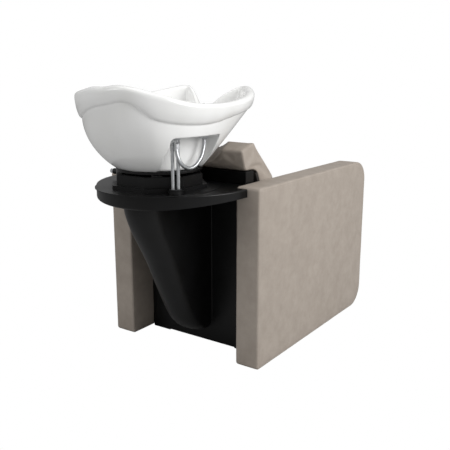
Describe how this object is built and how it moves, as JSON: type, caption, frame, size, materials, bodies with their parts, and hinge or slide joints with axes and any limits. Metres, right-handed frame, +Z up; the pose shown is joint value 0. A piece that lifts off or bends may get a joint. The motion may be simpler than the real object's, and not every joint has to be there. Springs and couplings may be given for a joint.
{
  "type": "salon wash unit",
  "caption": "Hair salon wash unit: low padded seat between slab arms, with a tilting ceramic neck basin, mixer tap, hand shower and drain on a half round shelf behind it",
  "frame": {"origin": "on the floor under the centre of the whole unit's box", "axes": "+X across the seat to the sitter's right seen from behind the basin, +Y from the seat to the basin, +Z up"},
  "size_m": [0.68, 1.24, 0.986],
  "materials": {
    "upholstery": "soft semi-matt coated leather, mottled taupe",
    "board": "plain plywood",
    "black_foot": "matt",
    "zinc_fixings": "bright zinc plated",
    "panel_black": "satin black laminate",
    "frame_paint": "satin black powder coat",
    "black_plastic": "fine satin grain",
    "plated_steel": "satin",
    "waste_plastic": "plain grey white",
    "drain_rubber": "matt grey",
    "brass": "plain turned",
    "copper_pipe": "drawn copper tube",
    "braided_hose": "polished metal hose",
    "glazed_white": "white gloss glaze",
    "chrome": "polished",
    "spray_face": "satin grey",
    "handle_red": "gloss",
    "handle_blue": "gloss"
  },
  "bodies": {
    "frame": {"arm_left": "upholstery", "arm_right": "upholstery", "arm_cores": "board", "arm_glides": "black_foot", "arm_bolts": "zinc_fixings", "seat_cushion": "upholstery", "seat_board": "board", "backrest_cushion": "upholstery", "backrest_board": "board", "front_panel": "panel_black", "lower_rails": "frame_paint", "upper_rails": "frame_paint", "posts": "frame_paint", "crossbars": "frame_paint", "floor_plates": "frame_paint", "shelf_plate": "frame_paint", "gussets": "frame_paint", "rear_cover": "black_plastic", "shelf": "black_plastic", "riser": "black_plastic", "tilt_housing": "black_plastic", "hinge_bracket": "plated_steel", "hinge_pin": "zinc_fixings", "bracket_bolts": "zinc_fixings", "lock_bracket": "plated_steel", "hose_grommet": "black_foot", "waste_funnel": "waste_plastic", "drain_hose": "drain_rubber", "drain_stub": "waste_plastic", "valve_bracket": "frame_paint", "valve_bodies": "brass", "supply_pipes": "copper_pipe", "supply_hose_hot": "braided_hose", "supply_hose_cold": "braided_hose"},
    "basin_unit": {"basin": "glazed_white", "cradle": "black_plastic", "basin_gasket": "black_foot", "basin_bolts": "zinc_fixings", "lock_quadrant": "plated_steel", "waste_flange": "chrome", "waste_nut": "chrome", "tail_pipe": "waste_plastic", "mixer_body": "chrome", "mixer_nut": "brass", "hose_guide": "chrome", "shower_hose": "braided_hose"},
    "strainer": {"hair_trap": "chrome"},
    "tap_cap": {"mixer_cap": "chrome"},
    "tap_lever": {"mixer_lever": "chrome"},
    "shower_head": {"hand_shower": "chrome", "spray_plate": "spray_face"},
    "tilt_lock": {"lock_knob": "chrome"},
    "hot_valve": {"valve_handle_hot": "handle_red"},
    "cold_valve": {"valve_handle_cold": "handle_blue"}
  },
  "joints": [
    {"name": "basin_tilt", "type": "hinge", "parent": "frame", "child": "basin_unit", "pos_m": [0, 0.262, 0.69], "axis": [1, 0, 0], "range_deg": [0, 8], "deforming": ["supply_hose_hot", "supply_hose_cold"]},
    {"name": "lock_turn", "type": "hinge", "parent": "frame", "child": "tilt_lock", "pos_m": [0.166, 0.404, 0.686], "axis": [1, 0, 0], "range_deg": [0, 120]},
    {"name": "tap_swing", "type": "hinge", "parent": "basin_unit", "child": "tap_cap", "pos_m": [-0.156, 0.46, 0.885], "axis": [0, 0, 1], "range_deg": [-45, 45]},
    {"name": "tap_lift", "type": "hinge", "parent": "tap_cap", "child": "tap_lever", "pos_m": [-0.162, 0.46, 0.905], "axis": [0, -1, 0], "range_deg": [0, 22]},
    {"name": "shower_lift", "type": "slide", "parent": "basin_unit", "child": "shower_head", "axis": [0, 0, 1], "range_m": [0, 0.15]},
    {"name": "trap_lift", "type": "slide", "parent": "basin_unit", "child": "strainer", "axis": [0, 0, 1], "range_m": [0, 0.1]},
    {"name": "hot_valve_turn", "type": "hinge", "parent": "frame", "child": "hot_valve", "pos_m": [0.09, 0.035, 0.068], "axis": [0, 1, 0], "range_deg": [0, 90]},
    {"name": "cold_valve_turn", "type": "hinge", "parent": "frame", "child": "cold_valve", "pos_m": [-0.09, 0.035, 0.068], "axis": [0, -1, 0], "range_deg": [0, 90]}
  ]
}
